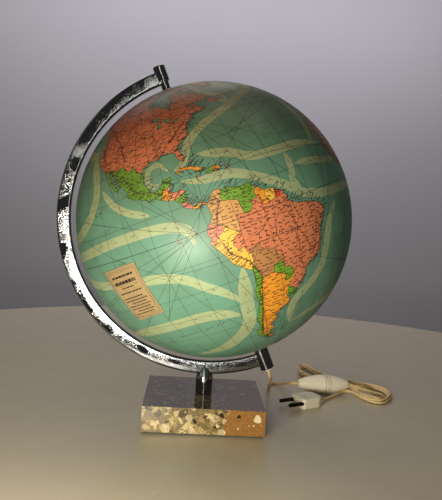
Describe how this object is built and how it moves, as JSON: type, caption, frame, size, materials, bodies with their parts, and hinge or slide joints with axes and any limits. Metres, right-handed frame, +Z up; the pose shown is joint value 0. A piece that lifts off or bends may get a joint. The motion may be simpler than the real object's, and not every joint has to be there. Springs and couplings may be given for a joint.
{
  "type": "desktop globe on stand",
  "caption": "Lamp-lit world globe on a tilted axis, held by a C-shaped chrome arm on a stone foot, with a flat flex, in-line switch and plug.",
  "frame": {"origin": "centre of the felt's underside, directly under the post", "axes": "+Z up along the post; the globe's axis leans 23.5 degrees from +Z towards -X at its north end; the flex lies on the +X side; -Y is the front"},
  "size_m": [0.4332, 0.3866, 0.39],
  "materials": {
    "chrome": "polished",
    "steel": "satin",
    "brass": "satin",
    "pin_metal": "matte",
    "stone": "polished",
    "felt": "matte",
    "map_print": "satin",
    "inner_board": "matte",
    "ivory_plastic": "gloss",
    "flex_sheath": "satin",
    "phenolic": "satin",
    "lamp_glass": "gloss"
  },
  "bodies": {
    "stand": {"felt_pad": "felt", "stone_base": "stone", "base_washer": "steel", "base_nut": "steel", "tie_rod": "steel", "post": "chrome", "meridian_arm": "chrome", "upper_ferrule": "chrome", "upper_ferrule_cap": "chrome", "pivot_spring": "steel", "bearing_washer": "steel", "lower_ferrule": "chrome", "lower_pivot_tube": "brass", "tube_nut": "brass", "inner_lead": "flex_sheath", "cord_grommet": "phenolic", "lamp_holder_base": "phenolic", "lamp_holder_sleeve": "phenolic", "holder_ring": "phenolic", "holder_contact": "brass", "lamp_cap": "brass", "lamp_bulb": "lamp_glass", "switch_left_half": "ivory_plastic", "switch_right_half": "ivory_plastic", "switch_insert": "phenolic", "plug_lower_half": "ivory_plastic", "plug_upper_half": "ivory_plastic", "plug_pin_near": "pin_metal", "plug_pin_far": "pin_metal", "plug_screw": "steel", "flex_to_switch": "flex_sheath", "flex_to_hank": "flex_sheath", "flex_to_plug": "flex_sheath", "flex_hank": "flex_sheath"},
    "globe": {"north_globe_shell": "map_print", "south_globe_shell": "map_print", "equator_ring": "inner_board", "north_pole_bush": "brass", "south_pole_bush": "brass"},
    "top_pivot": {"top_pivot_pin": "steel"},
    "switch_bar": {"switch_push_bar": "ivory_plastic"}
  },
  "joints": [
    {"name": "globe_spin", "type": "hinge", "parent": "stand", "child": "globe", "pos_m": [0, 0, 0.224], "axis": [-0.3987, 0, 0.9171], "continuous": true},
    {"name": "top_pivot_slide", "type": "slide", "parent": "stand", "child": "top_pivot", "axis": [-0.3987, 0, 0.9171], "range_m": [0, 0.005], "stiffness_N_per_m": 400, "springref_m": -0.004, "deforming": ["pivot_spring"]},
    {"name": "switch_bar_push", "type": "slide", "parent": "stand", "child": "switch_bar", "axis": [-0.0895, 0.6365, -0.766], "range_m": [0, 0.0024]}
  ]
}
